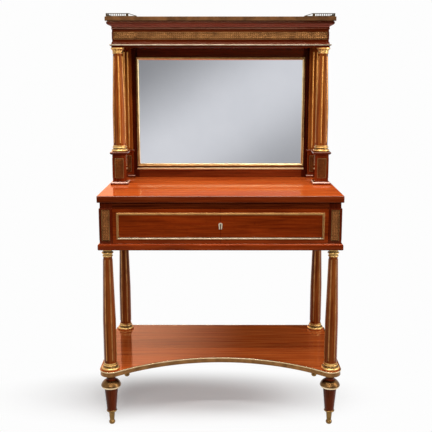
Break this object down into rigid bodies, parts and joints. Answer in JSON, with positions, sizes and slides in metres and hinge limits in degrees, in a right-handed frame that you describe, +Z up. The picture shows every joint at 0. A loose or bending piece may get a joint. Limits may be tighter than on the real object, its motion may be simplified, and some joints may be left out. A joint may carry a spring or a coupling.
{
  "type": "pier table",
  "caption": "Pier table with a mirrored, columned upper stage over a drawer apron on fluted columns, with a concave-front shelf, turned feet and brass mounts.",
  "frame": {"origin": "on the floor, under the middle of the table's bounding box", "axes": "+X to the right, +Y to the wall behind so the front faces -Y, +Z up"},
  "size_m": [0.88, 0.494, 1.4996],
  "materials": {
    "mahogany": "french polished",
    "oak": "planed, unpolished",
    "gilt_brass": "gilt, polished and aged",
    "milled_brass": "milled, aged",
    "gallery_brass": "pierced, tarnished",
    "mirror": "silvered plate glass",
    "lock_steel": "filed and oiled"
  },
  "bodies": {
    "frame": {"apron_moulding": "mahogany", "architrave_moulding": "mahogany", "back_board": "oak", "back_rail": "mahogany", "column_bases": "gilt_brass", "column_capitals": "gilt_brass", "column_fillets": "gilt_brass", "column_front_left": "mahogany", "column_front_right": "mahogany", "column_rear_left": "mahogany", "column_rear_right": "mahogany", "cornice_moulding": "mahogany", "drawer_runners": "oak", "drawer_top_rail": "mahogany", "foot_collars": "gilt_brass", "foot_front_left": "mahogany", "foot_front_right": "mahogany", "foot_rear_left": "mahogany", "foot_rear_right": "mahogany", "foot_sabots": "gilt_brass", "frieze_boards": "mahogany", "frieze_strips": "milled_brass", "gallery": "gallery_brass", "milled_plaques": "milled_brass", "mirror_bottom_rail": "mahogany", "mirror_frame": "gilt_brass", "mirror_glass": "mirror", "mirror_stile_left": "mahogany", "mirror_stile_right": "mahogany", "mirror_top_rail": "mahogany", "pedestal_left": "mahogany", "pedestal_mouldings": "mahogany", "pedestal_right": "mahogany", "pilaster_pedestals": "mahogany", "pilasters": "mahogany", "post_front_left": "mahogany", "post_front_right": "mahogany", "post_rear_left": "mahogany", "post_rear_right": "mahogany", "shelf_board": "mahogany", "shelf_edge_band": "gilt_brass", "side_rail_left": "mahogany", "side_rail_right": "mahogany", "soffit_board": "mahogany", "table_top": "mahogany", "top_board": "mahogany", "upper_capitals": "gilt_brass", "upper_column_bases": "gilt_brass", "upper_column_left": "mahogany", "upper_column_right": "mahogany", "upper_fillets": "gilt_brass"},
    "drawer": {"drawer_front": "mahogany", "drawer_side_left": "oak", "drawer_side_right": "oak", "drawer_back": "oak", "drawer_bottom": "oak", "drawer_bead_frame": "gilt_brass", "escutcheon": "gilt_brass", "lock_case": "lock_steel"},
    "lock_bolt": {"lock_bolt": "lock_steel"}
  },
  "joints": [
    {"name": "drawer_slide", "type": "slide", "parent": "frame", "child": "drawer", "axis": [0, -1, 0], "range_m": [0, 0.3]},
    {"name": "bolt_slide", "type": "slide", "parent": "drawer", "child": "lock_bolt", "axis": [0, 0, 1], "range_m": [0, 0.007]}
  ]
}
